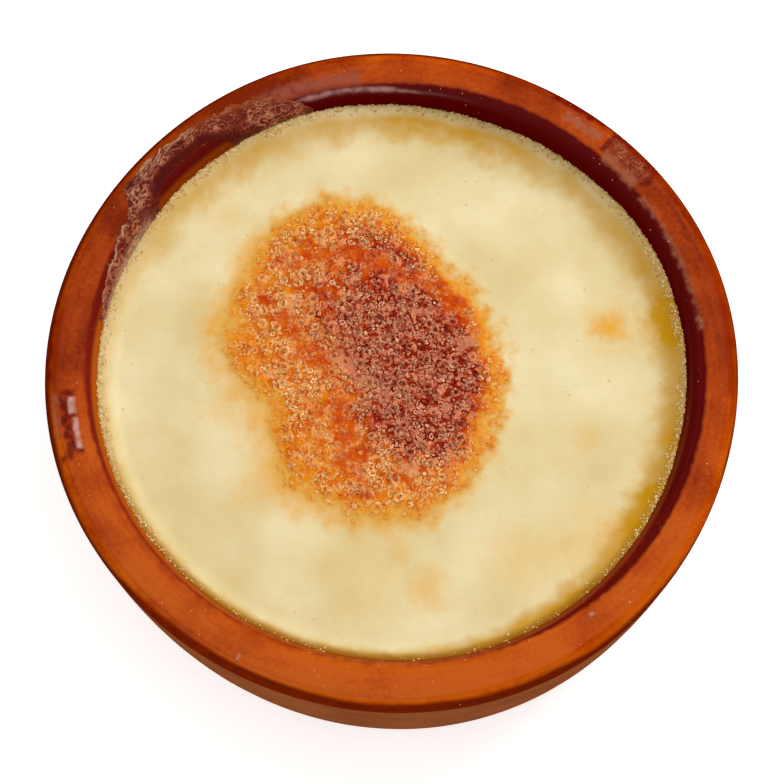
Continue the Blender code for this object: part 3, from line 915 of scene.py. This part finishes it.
def skinTones(x, y):
    # shares of every tint over places in mm, as point attributes
    slow, fine = cloudy(x, y, 9.0, 1.0), cloudy(x, y, 2.2, 2.0, 4)
    tones = scorchTones(x, y, slow, fine)
    radius, degrees = np.hypot(x, y) * 0.001, heading(x, y)
    inward = (skinShape["solidEdge"] - radius) / slopeWidth(np.radians(degrees))
    reach = roundTheBowl(edgeReach, degrees)
    scallops = cloudy(x, y, 3.6, 8.0, 3)
    ring = 1.0 - smooth(inward / reach + 0.30 * scallops, 0.25, 1.40)
    frothy = roundTheBowl(edgePale, degrees) * smooth(inward + 0.1 * slow, 0.4, 0.1)
    goldAndShade = ring * roundTheBowl(edgeGoldAndShade, degrees) * (1.0 + 0.2 * slow)
    tones["goldAndShade"] = np.clip(goldAndShade, 0.0, 1.0) * (1.0 - frothy)
    tones["oliveAndShade"] = roundTheBowl(edgeOliveAndShade, degrees) * (1.0 - smooth(inward + 0.04 * fine, 0.02, 0.4))
    blush = np.zeros(len(x))
    for bx, by, size, share in blotches:
        near = np.hypot(x - bx, y - by) / size + 0.25 * slow + 0.2 * fine
        blush = np.maximum(blush, share * (1.0 - smooth(near, 0.0, 1.2)))
    tones["blush"] = blush
    return tones


def contactHeight(angle):
    # the skin's line on the wall, a little uneven
    s = skinShape
    ragged = np.array([noise.fractal(Vector((math.cos(a) * 6.0, math.sin(a) * 6.0, 3.0)), 0.6, 2.1, 4)
                       for a in angle])
    sunk = roundTheBowl(s["contactSunk"], np.degrees(angle))
    return s["contactUneven"] * ragged + bowlShape["height"] - s["contactDrop"] - sunk


def makePudding(material):
    s, b = skinShape, bowlShape
    disc, faces, rim = discGrid(s["cells"])
    contact = contactHeight(np.arctan2(disc[:, 1], disc[:, 0]))
    reach = (lipRadiusAt(contact) + s["wallOverlap"]) * 1000.0
    x, y = disc[:, 0] * reach, disc[:, 1] * reach
    tones = skinTones(x, y)
    z = skinHeight(x, y, contact) + s["lumps"] * cloudy(x, y, 1.4, 7.0, 3)
    points = placesAt(x, y, z - s["crustRoom"] * smooth(tones["scorch"], 1.0, 3.0))
    hollow, rounding = b["hollowFootRadius"] - s["hiddenGap"], b["hollowRound"]
    lipFoot = b["lipRadius"] - b["lipRollWidth"]
    rings = []
    # its hidden side: under the lip, down the hollow's wall and round to the floor
    for radius, height in ((lipFoot - 0.0001, b["height"] - b["lipRollDrop"] - s["hiddenDrop"]),
                           (hollow, b["floorThickness"] + rounding),
                           (hollow - 0.3 * rounding, puddingFloor + 0.3 * rounding),
                           (hollow - rounding, puddingFloor)):
        ring = disc[rim] / np.linalg.norm(disc[rim], axis=1)[:, None] * radius
        rings.append(thrownByHand(np.column_stack((ring, np.full(len(ring), height)))))
    allPoints, faces = closedBelow(points, faces, rim, rings, (0.0, 0.0, puddingFloor))
    hidden = len(allPoints) - len(points)
    fields = {key: np.concatenate((values, np.full(hidden, -10.0 if key == "scorch" else 0.0)))
              for key, values in tones.items()}
    finished(newPiece("ricePudding", newMesh("ricePudding", allPoints, faces, fields), material),
             "baked_milk", "pudding")


def stampBlisters(x, y, room):
    # relief of set bubbles over places in mm: some burst to a ring and a pit, some whole domes; also a
    # painted highlight on rings and domes, and painted shade in pits and round domes
    b = blister
    ring, pit, dome, moat = b["ring"], b["pit"], b["dome"], b["moat"]
    chance = np.random.default_rng(41)
    tree = kdtree.KDTree(b["count"])
    reach = max(row[1] for row in scorch["outline"])
    sizes, burst = [], []
    small, large = b["radius"]
    for index in range(b["count"]):
        away = reach * math.sqrt(chance.random())
        turn = chance.random() * math.tau
        tree.insert((scorch["middle"][0] + away * math.cos(turn), scorch["middle"][1] + away * math.sin(turn),
                     0.0), index)
        sizes.append(small + (large - small) * chance.random() ** b["manySmall"])
        burst.append(chance.random() < b["burst"])
    tree.balance()
    height, light, shade = np.zeros(len(x)), np.zeros(len(x)), np.zeros(len(x))
    bentX, bentY = (side + b["bend"] * cloudy(x, y, 1.8, seed, 2) for side, seed in ((x, 25.0), (y, 26.0)))
    for i in np.nonzero(room > 0.05)[0]:
        # the bubble whose own size reaches this place best
        near, chosen = min((away / sizes[index], index)
                           for _, index, away in tree.find_n((bentX[i], bentY[i], 0.0), 5))
        if near < b["reach"]:
            size = sizes[chosen]
            if burst[chosen]:
                light[i] = math.exp(-((near - ring["at"]) / ring["width"]) ** 2)
                shade[i] = max(0.0, 1.0 - near / pit["shade"])
                dip = pit["depth"] * max(0.0, 1.0 - near / pit["reach"])
                height[i] = size * (ring["height"] * light[i] - dip)
            else:
                height[i] = size * dome["height"] * max(0.0, 1.0 - near ** 2)
                light[i] = dome["light"] * max(0.0, 1.0 - near)
                shade[i] = moat["shade"] * math.exp(-((near - moat["at"]) / moat["width"]) ** 2)
    return height * room, light * room, shade * room


def makeCrust(material):
    s = scorch
    disc, faces, rim = discGrid(s["cells"])
    reach = scorchReach(heading(disc[:, 0], disc[:, 1])) * s["margin"]
    x, y = s["middle"][0] + disc[:, 0] * reach, s["middle"][1] + disc[:, 1] * reach
    tones = skinTones(x, y)
    inside = tones["scorch"]
    tones["spread"] = tones["foam"] * smooth(inside, 0.5, 3.0)
    room = smooth(inside, -0.5, 2.0) * (0.35 + 0.65 * tones["foam"])
    # the painted highlight goes to the rim attribute and the painted shade to the pit attribute
    relief, tones["rim"], tones["pit"] = stampBlisters(x, y, room)
    lift = s["crustLift"] * smooth(inside, -1.5, 2.0) - s["crustTuck"] * (1.0 - smooth(inside, -2.5, -0.5))
    lumps = s["crustLumps"] * cloudy(x, y, 1.1, 9.0, 4) * smooth(inside, -1.0, 2.0)
    z = skinHeight(x, y, bowlShape["height"] - skinShape["contactDrop"]) + 0.001 * (lift + relief + lumps)
    points = placesAt(x, y, z)
    skirt = points[rim].copy()
    skirt[:, 2] -= s["skirt"]
    middle = (s["middle"][0] * 0.001, s["middle"][1] * 0.001, skirt[:, 2].min())
    allPoints, faces = closedBelow(points, faces, rim, [skirt], middle)
    fields = {key: np.concatenate((values, np.zeros(len(rim) + 1))) for key, values in tones.items()}
    crust = newPiece("scorchedCrust", newMesh("scorchedCrust", allPoints, faces, fields), material)
    finished(crust, "baked_milk", "pudding")
    return crust


def scatterTree():
    # puts copies of one small piece on a surface, where its "spread" attribute is high
    tree, named, node, start = newTree(
        "scatter", ("Piece", "Object"), ("Density", "Float"), ("Smallest", "Float"), ("Largest", "Float"),
        ("Sink", "Float"), ("Lowest Tone", "Float"), ("Seed", "Int"), ("Finish", "Material"))
    spread = node("GeometryNodeInputNamedAttribute", {"Name": "spread"}, data_type="FLOAT")
    density = node("Math", {0: spread, 1: start["Density"]}, operation="MULTIPLY")
    points = node("GeometryNodeDistributePointsOnFaces",
                  {"Mesh": start["Geometry"], "Density": density, "Seed": start["Seed"]})
    chance = node("FunctionNodeRandomValue", {"Seed": 1}, data_type="FLOAT").outputs[1]
    skewed = node("Math", {0: chance, 1: 2.0}, operation="POWER")
    size = node("MapRange", {0: skewed, 3: start["Smallest"], 4: start["Largest"]})
    shape = node("FunctionNodeRandomValue", {0: (0.75, 0.75, 1.0), 1: (1.25, 1.25, 1.0), "Seed": 4},
                 data_type="FLOAT_VECTOR")
    shape = node("VectorMath", {0: shape, "Scale": size}, operation="SCALE")
    spin = node("FunctionNodeRandomValue", {1: (math.tau, math.tau, math.tau), "Seed": 2},
                data_type="FLOAT_VECTOR")
    turned = node("VectorMath", {0: spin, 1: (0.04, 0.04, 1.0)}, operation="MULTIPLY")
    piece = node("GeometryNodeObjectInfo", {"Object": start["Piece"]}).outputs["Geometry"]
    placed = node("GeometryNodeInstanceOnPoints",
                  {"Points": points.outputs["Points"], "Instance": piece,
                   "Rotation": points.outputs["Rotation"], "Scale": shape})
    spun = node("GeometryNodeRotateInstances", {"Instances": placed, "Rotation": turned})
    drop = node("Math", {0: size, 1: start["Sink"]}, operation="MULTIPLY")
    down = node("CombineXYZ", {2: drop})
    sunk = node("GeometryNodeTranslateInstances",
                {"Instances": spun, "Translation": down, "Local Space": False})
    tone = node("FunctionNodeRandomValue", {2: start["Lowest Tone"], "Seed": 3},
                data_type="FLOAT").outputs[1]
    toned = node("GeometryNodeStoreNamedAttribute",
                 {"Geometry": sunk, "Name": "tone", "Value": tone}, data_type="FLOAT", domain="INSTANCE")
    real = node("GeometryNodeRealizeInstances", {"Geometry": toned})
    soft = node("GeometryNodeSetShadeSmooth", {"Geometry": real})
    coated = node("GeometryNodeSetMaterial", {"Geometry": soft, "Material": start["Finish"]})
    node("NodeGroupOutput", {0: coated})
    return tree, named


def ringShape(around, across, thickness):
    # a unit ring of few faces, for a burst bubble's rim
    points, faces = [], []
    for i in range(around):
        turn = math.tau * i / around
        for j in range(across):
            tip = math.tau * j / across
            reach = 1.0 + thickness * math.cos(tip)
            points.append((reach * math.cos(turn), reach * math.sin(turn), thickness * 0.7 * math.sin(tip)))
            nextI, nextJ = (i + 1) % around, (j + 1) % across
            faces.append((i * across + j, nextI * across + j, nextI * across + nextJ, i * across + nextJ))
    return newMesh("ringShape", points, faces)


def beadShape(stretch=(1.0, 1.0, 1.0)):
    # a unit bead of twenty faces, stretched along x, y and z
    golden = (1.0 + math.sqrt(5.0)) / 2.0
    points = []
    for a in (-1.0, 1.0):
        for b in (-golden, golden):
            points += [(0.0, a, b), (a, b, 0.0), (b, 0.0, a)]
    points = [Vector(p).normalized() for p in points]
    near = min((p - points[0]).length for p in points[1:]) * 1.01
    faces = []
    for i in range(12):
        for j in range(i + 1, 12):
            for k in range(j + 1, 12):
                a, b, c = points[i], points[j], points[k]
                if max((a - b).length, (b - c).length, (a - c).length) < near:
                    outward = (b - a).cross(c - a).dot(a) > 0.0
                    faces.append((i, j, k) if outward else (i, k, j))
    return newMesh("beadShape", [[p[i] * stretch[i] for i in range(3)] for p in points], faces)


scattered = {
    "scorchRings": {"shape": ("ring", 10, 4, 0.12), "density": 0.8e6, "size": (0.00022, 0.00060),
                    "sink": -0.1, "lowestTone": 0.0, "seed": 3, "slot": "baked_milk"},
    "scorchDomes": {"shape": ("bead", 1.0, 1.0, 0.35), "density": 1.2e6, "size": (0.00012, 0.00036),
                    "sink": -0.2, "lowestTone": 0.0, "seed": 8, "slot": "baked_milk"},
    "frothBeads": {"shape": ("bead", 1.0, 1.0, 0.7), "density": 2.2e7, "size": (0.00008, 0.00024),
                   "sink": 0.0, "lowestTone": 0.0, "seed": 12, "slot": "dried_milk"},
    "skinFlecks": {"shape": ("bead", 1.0, 0.6, 0.3), "density": 6.0e4, "size": (0.0001, 0.00028),
                   "sink": 0.0, "lowestTone": 0.7, "seed": 20, "slot": "dried_milk"},
    # rim specks: pale beads that stand for painted glints of light caught in pinholes of the glaze
    "rimSpecks": {"shape": ("bead", 1.0, 0.8, 0.4), "density": 1.6e5, "size": (0.00004, 0.00015),
                  "sink": -0.1, "lowestTone": 0.4, "seed": 31, "slot": "dried_milk"},
}


def scatter(name, host, growth, material, *nodes):
    s = scattered[name]
    kind, *sizes = s["shape"]
    shape = newPiece(name + "Shape", ringShape(*sizes) if kind == "ring" else beadShape(sizes))
    values = {"Piece": shape, "Density": s["density"], "Smallest": s["size"][0], "Largest": s["size"][1],
              "Sink": s["sink"], "Lowest Tone": s["lowestTone"], "Seed": s["seed"], "Finish": material}
    piece = runTree(name, host, growth, values, material)
    bpy.data.objects.remove(shape, do_unlink=True)
    finished(piece, s["slot"], *nodes)


bandSteps = 900                                             # places round the bowl in a band
frothInsets = (0.0014, 0.0010, 0.0006, 0.0002, 0.0)         # the froth band's rows, metres in from the wall
frothClimb = 0.00025                                        # and how far up the wall its last row is
frothThinning = (1.0, 0.7, 0.35, 0.0, 0.0, 0.5)             # fewer beads in each row, by this much
fleckReach = 44.5                                           # mm from the axis


def bandMesh(rows):
    # rings of points round the bowl joined to a band: each row is (radius, height) in metres
    angle = np.linspace(0.0, math.tau, bandSteps, endpoint=False)
    points = [thrownByHand(np.column_stack((radius * np.cos(angle), radius * np.sin(angle),
                                            np.broadcast_to(height, angle.shape))))
              for radius, height in rows]
    faces = []
    for low in range(0, (len(rows) - 1) * bandSteps, bandSteps):
        for i in range(bandSteps):
            after = (i + 1) % bandSteps
            faces.append((low + i, low + bandSteps + i, low + bandSteps + after, low + after))
    return np.vstack(points), faces, np.tile(np.degrees(angle), len(rows))


def frothHost():
    # a narrow band lying where the skin meets the wall
    angle = np.linspace(0.0, math.tau, bandSteps, endpoint=False)
    contact = contactHeight(angle)
    edge = lipRadiusAt(contact)
    rows = []
    for inset in frothInsets:
        x, y = (edge - inset) * np.cos(angle) * 1000.0, (edge - inset) * np.sin(angle) * 1000.0
        rows.append((edge - inset, skinHeight(x, y, contact) + 0.00005))
    rows.append((lipRadiusAt(contact + frothClimb), contact + frothClimb))
    points, faces, degrees = bandMesh(rows)
    clumps = cloudy(points[:, 0] * 1000.0, points[:, 1] * 1000.0, 1.1, 13.0, 3)
    thinner = np.repeat(np.array(frothThinning), bandSteps)
    spread = roundTheBowl(frothRing, degrees) * smooth(clumps - 0.9 * thinner, -0.9, 0.1)
    return newMesh("frothHost", points, faces, {"spread": spread})


def rimHost():
    # the rim's top as a band, for pale specks in the glaze: pinholes shown as painted glints
    outline = np.vstack((lipRoll(6, bowlShape["height"] - skinShape["contactDrop"]), rimTop(4, 3)[:-1]))
    points, faces, _ = bandMesh([tuple(row) for row in outline])
    clumps = cloudy(points[:, 0] * 1000.0, points[:, 1] * 1000.0, 5.0, 17.0, 2)
    return newMesh("rimHost", points, faces, {"spread": smooth(clumps, -0.6, 0.6)})


def skinHost():
    # the pale skin as a coarse sheet, for the flecks on it
    disc, faces, _ = discGrid(60)
    x, y = disc[:, 0] * fleckReach, disc[:, 1] * fleckReach
    z = skinHeight(x, y, contactHeight(np.arctan2(y, x)))
    spread = 1.0 - smooth(scorchDepth(x, y), -4.0, -1.0)
    return newMesh("skinHost", placesAt(x, y, z), faces, {"spread": spread})


def clayPath():
    # the clay from the pudding's line outwards: distance along it, places, and the way off it
    s = bowlShape
    points = np.vstack((lipRoll(40, s["height"] - skinShape["contactDrop"]), rimTop(24, 12)))
    ahead = np.gradient(points, axis=0)
    ahead /= np.linalg.norm(ahead, axis=1)[:, None]
    steps = np.linalg.norm(np.diff(points, axis=0), axis=1)
    return np.concatenate(([0.0], np.cumsum(steps))), points, np.column_stack((-ahead[:, 1], ahead[:, 0]))


def wrinkled(u, v, size, seed):
    # ridged noise from 0 to 1 over two mm coordinates: thin creases between slack cells
    values = cloudy(u, v, size, seed, 2)
    return 1.0 - np.clip(np.abs(values) / 0.24, 0.0, 1.0)


def makeFilm(material):
    f = milkFilm
    along, line, away = clayPath()
    angles, reaches = zip(*f["reach"])
    degrees = np.repeat(np.linspace(angles[0], angles[-1], f["columns"] + 1), f["rows"] + 1)
    share = np.tile(np.linspace(0.0, 1.0, f["rows"] + 1), f["columns"] + 1)     # from its foot to its top
    u = np.radians(degrees) * f["meanRadius"]
    ragged = cloudy(u, u * 0.0, 2.6, 21.0, 4)
    top = np.interp(degrees, angles, reaches) + f["raggedTop"] * ragged
    arch = np.clip(1.0 - (np.abs(degrees - f["archAngle"]) / f["archHalfWidth"]) ** 4, 0.0, 1.0)
    foot = (f["archHeight"] - f["foot"]) * arch + f["raggedArch"] * ragged * arch
    distance = foot + (top - foot) * share

    # creases: two nets of them, one of which runs slantwise up the wall, and a smooth belly between
    v = distance * 1000.0
    slant = v + 0.5 * u
    density = smooth(cloudy(u, v, 3.2, 44.0, 2), -0.7, 0.3)
    drift = 1.3 * cloudy(u, v, 3.4, 51.0, 2)
    net = np.maximum(wrinkled(u * 0.5, (v + drift) * 1.5, 1.0, 4.0) ** 1.5,
                     0.8 * wrinkled((slant + drift) * 1.1, (v - 0.5 * u) * 0.6, 1.0, 6.0) ** 1.5)
    belly = smooth(degrees, 116.0, 122.0) * smooth(degrees, 147.0, 141.0)
    belly = belly * smooth(share + 0.1 * ragged, 0.5, 0.2)
    net = net * (0.4 + 0.6 * density) * (1.0 - 0.85 * belly)
    first, last = angles[0], angles[-1]
    ends = np.minimum(smooth(degrees, first, first + 2.0), smooth(degrees, last, last - 2.0))
    edge = np.minimum(smooth(share, 0.0, 0.08), smooth(share, 1.0, 0.92)) * ends
    wrinkle = net * (0.35 + 0.65 * smooth(degrees, 108.0, 116.0))
    roll = np.exp(-((share - 0.93) / 0.05) ** 2) * smooth(cloudy(u, u * 0.0, 6.0, 30.0, 2), -0.2, 0.3)
    thick = f["thinnest"] + edge * (f["body"] + f["wrinkleHeight"] * wrinkle ** 1.5) + f["rollHeight"] * roll

    turn = np.radians(degrees)
    sheets = []
    for offset in (thick, np.full(len(thick), f["underside"])):
        radius, height = (np.interp(distance, along, line[:, i])
                          + offset * np.interp(distance, along, away[:, i]) for i in (0, 1))
        height = np.minimum(height, skinCeiling - 0.00002)
        sheets.append(thrownByHand(np.column_stack((radius * np.cos(turn), radius * np.sin(turn), height))))
    size, rowCount = len(share), f["rows"] + 1
    faces = []
    for c in range(f["columns"]):
        for corner in range(c * rowCount, c * rowCount + f["rows"]):
            quad = (corner, corner + 1, corner + rowCount + 1, corner + rowCount)
            faces += [quad, tuple(size + i for i in reversed(quad))]
    border = [c * rowCount for c in range(f["columns"] + 1)]
    border += [f["columns"] * rowCount + r for r in range(1, rowCount)]
    border += [c * rowCount + rowCount - 1 for c in range(f["columns"] - 1, -1, -1)]
    border += list(range(rowCount - 2, 0, -1))
    for corner, following in zip(border, border[1:] + border[:1]):
        faces.append((corner, following, following + size, corner + size))

    # tints: how creased it is, paler beige above the arch and at its low end, worn thin along the top
    beige = smooth(degrees, 127.0, 133.0) * smooth(degrees, 150.0, 144.0) * smooth(share, 0.3, 0.95)
    crease = np.clip(0.2 + 0.14 * density + 0.75 * net + 0.3 * roll - 0.2 * belly, 0.0, 1.0)
    lowEnd = smooth(degrees, 144.0, 152.0) * smooth(share, 0.55, 0.1)
    pale = np.clip(0.4 * roll + 0.4 * lowEnd + 0.45 * beige * net, 0.0, 1.0)
    worn = 0.85 * smooth(share + 0.12 * ragged, 0.72, 1.0) * (1.0 - beige) * smooth(degrees, 150.0, 140.0)
    fields = {key: np.tile(values, 2) for key, values in (("crease", crease), ("pale", pale), ("worn", worn))}
    film = newPiece("milkSkin", newMesh("milkSkin", np.vstack(sheets), faces, fields), material)
    outwards(film.data)
    finished(film, "dried_milk", "milk_skin")


viewPoint = {"lens": 128.1, "distance": 0.450, "elevation": 71.8, "aim": (-0.00005, -0.00363, 0.0380)}

studio = {
    "key": {"place": (0.32, 0.34, 0.36), "size": 0.40, "power": 2.12, "glossy": False},
    "overhead": {"place": (0.0, 0.0, 0.7), "size": 0.9, "power": 2.02, "glossy": False},
    "sheen": {"place": (-0.04, -0.45, 0.38), "size": 0.16, "power": 0.35, "glossy": True},
}
surroundings = {
    "seen": 0.34,               # strength of the white room, and in reflections
    "mirrored": 0.03,
    "board": ("#F6F5F3", "#F9F8F6"),
    "boardGlow": 0.55,
    "boardHalf": 1.5,           # metres from the middle to its edge
}


def makeCamera():
    v = viewPoint
    tilt = math.radians(v["elevation"])
    camera = bpy.data.objects.new("viewCamera", bpy.data.cameras.new("viewCamera"))
    camera.location = Vector(v["aim"]) + Vector((0.0, -math.cos(tilt), math.sin(tilt))) * v["distance"]
    camera.rotation_euler = (math.radians(90.0 - v["elevation"]), 0.0, 0.0)
    camera.data.lens = v["lens"]
    camera.data.sensor_width = 36.0
    camera.data.clip_start = 0.01
    bpy.context.scene.collection.objects.link(camera)
    bpy.context.scene.camera = camera


def makeStudio():
    for name, s in studio.items():
        light = bpy.data.lights.new(name + "Light", "AREA")
        light.size = s["size"]
        light.energy = s["power"]
        lamp = bpy.data.objects.new(name + "Light", light)
        lamp.location = s["place"]
        lamp.rotation_euler = (Vector((0.0, 0.0, 0.03)) - lamp.location).to_track_quat("-Z", "Y").to_euler()
        lamp.visible_glossy = s["glossy"]
        bpy.context.scene.collection.objects.link(lamp)
    world = bpy.data.worlds.new("studioWorld")
    bpy.context.scene.world = world
    world.use_nodes = True
    world.node_tree.nodes.clear()
    node = partial(addNode, world.node_tree)
    ray = node("LightPath").outputs["Is Glossy Ray"]
    white = (1.0, 1.0, 1.0, 1.0)
    soft = node("Background", {"Color": white, "Strength": surroundings["seen"]})
    dark = node("Background", {"Color": white, "Strength": surroundings["mirrored"]})
    mixed = node("MixShader", {0: ray, 1: soft, 2: dark})
    node("OutputWorld", {0: mixed})


def makeFloor():
    # pale matt board, lit like a table top
    made, node, finish = newMaterial("whiteBoard")
    spot = node("TexCoord").outputs["Object"]
    mottle = node("TexNoise", {"Vector": spot, "Scale": 30.0, "Detail": 2.0})
    tone = node("ValToRGB", {0: mottle}, stops=zip((0.3, 0.7), surroundings["board"]))
    finish({"Base Color": tone, "Roughness": 0.8, "Specular IOR Level": 0.1,
            "Emission Color": (1.0, 1.0, 1.0, 1.0), "Emission Strength": surroundings["boardGlow"]})
    half = surroundings["boardHalf"]
    corners = [(-half, -half, 0.0), (half, -half, 0.0), (half, half, 0.0), (-half, half, 0.0)]
    newPiece("whiteFloor", newMesh("whiteFloor", corners, [(0, 1, 2, 3)]), made)


makeCamera()
makeStudio()
makeFloor()
makeBowl()
puddingSkin = bakedMilkSkin()
makePudding(puddingSkin)
crust = makeCrust(puddingSkin)
makeFilm(driedMilkFilm())
growth, caramel, froth = scatterTree(), caramelBlister(), driedFroth()
for name in ("scorchRings", "scorchDomes"):
    scatter(name, crust.data.copy(), growth, caramel, "pudding")
for name, host in (("frothBeads", frothHost()), ("skinFlecks", skinHost()), ("rimSpecks", rimHost())):
    scatter(name, host, growth, froth)
bpy.context.scene.view_settings.view_transform = "Standard"
